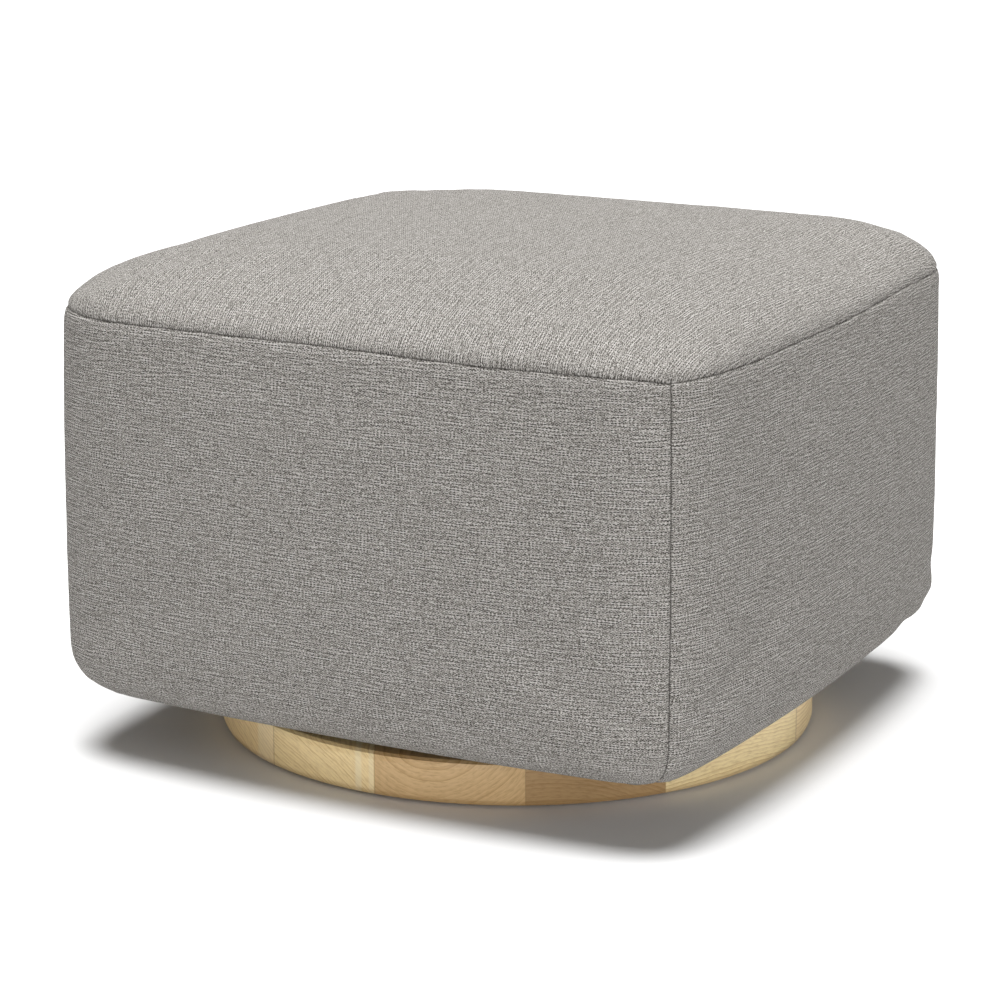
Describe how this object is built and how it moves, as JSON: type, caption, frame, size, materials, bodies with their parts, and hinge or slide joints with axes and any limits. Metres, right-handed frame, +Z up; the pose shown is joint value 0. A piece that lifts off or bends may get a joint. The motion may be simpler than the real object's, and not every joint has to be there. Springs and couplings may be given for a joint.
{
  "type": "glider ottoman",
  "caption": "Upholstered square footstool with a domed top that glides to and fro on a hidden four-link steel mechanism above a round wooden disc base.",
  "frame": {"origin": "on the floor, under the middle of the body and of the base", "axes": "+Z up; the front side faces -Y and the body glides along Y; +X is the right side seen from the front"},
  "size_m": [0.5778, 0.5778, 0.406],
  "materials": {
    "wood_base": "clear satin lacquer over edge-glued light wood",
    "felt": "pressed felt",
    "steel": "black satin powder coat",
    "pins": "zinc plated",
    "nylon": "moulded nylon",
    "rubber": "moulded rubber",
    "frame_wood": "sawn hardwood and plywood, unfinished",
    "foam": "polyurethane foam with a fibre wrap",
    "cover": "warm grey melange woven upholstery",
    "top_cover": "warm grey melange woven upholstery, lighter face",
    "dust": "black spun-bonded fabric"
  },
  "bodies": {
    "base": {"base_disc": "wood_base", "floor_pads": "felt", "glide_plate": "steel", "base_screws": "pins", "left_upright": "steel", "right_upright": "steel", "upper_pivot_pins": "pins"},
    "front_left_swing": {"front_left_link": "steel", "front_left_bushings": "nylon"},
    "front_right_swing": {"front_right_link": "steel", "front_right_bushings": "nylon"},
    "rear_left_swing": {"rear_left_link": "steel", "rear_left_bushings": "nylon"},
    "rear_right_swing": {"rear_right_link": "steel", "rear_right_bushings": "nylon"},
    "seat": {"lower_pivot_pins": "pins", "left_seat_rail": "steel", "right_seat_rail": "steel", "front_cross_brace": "steel", "rear_cross_brace": "steel", "stop_bumpers": "rubber", "rail_screws": "pins", "corner_blocks": "frame_wood", "left_runner": "frame_wood", "right_runner": "frame_wood", "deck": "frame_wood", "top_foam": "foam", "top_cover": "top_cover", "dust_cover": "dust", "front_board": "frame_wood", "front_foam": "foam", "front_cover": "cover", "rear_board": "frame_wood", "rear_foam": "foam", "rear_cover": "cover", "left_board": "frame_wood", "left_foam": "foam", "left_cover": "cover", "right_board": "frame_wood", "right_foam": "foam", "right_cover": "cover"}
  },
  "joints": [
    {"name": "glide", "type": "hinge", "parent": "base", "child": "front_left_swing", "pos_m": [-0.1305, -0.09, 0.148], "axis": [1, 0, 0], "range_deg": [-25, 25]},
    {"name": "seat_level", "type": "hinge", "parent": "front_left_swing", "child": "seat", "pos_m": [-0.1305, -0.09, 0.062], "axis": [1, 0, 0], "range_deg": [-25, 25]},
    {"name": "front_right_swing_turn", "type": "hinge", "parent": "base", "child": "front_right_swing", "pos_m": [0.1305, -0.09, 0.148], "axis": [1, 0, 0], "range_deg": [-25, 25]},
    {"name": "rear_left_swing_turn", "type": "hinge", "parent": "base", "child": "rear_left_swing", "pos_m": [-0.1305, 0.09, 0.148], "axis": [1, 0, 0], "range_deg": [-25, 25]},
    {"name": "rear_right_swing_turn", "type": "hinge", "parent": "base", "child": "rear_right_swing", "pos_m": [0.1305, 0.09, 0.148], "axis": [1, 0, 0], "range_deg": [-25, 25]}
  ],
  "couplings": [
    {"joint": "seat_level", "follows": "glide", "ratio": -1},
    {"joint": "front_right_swing_turn", "follows": "glide", "ratio": 1},
    {"joint": "rear_left_swing_turn", "follows": "glide", "ratio": 1},
    {"joint": "rear_right_swing_turn", "follows": "glide", "ratio": 1}
  ]
}
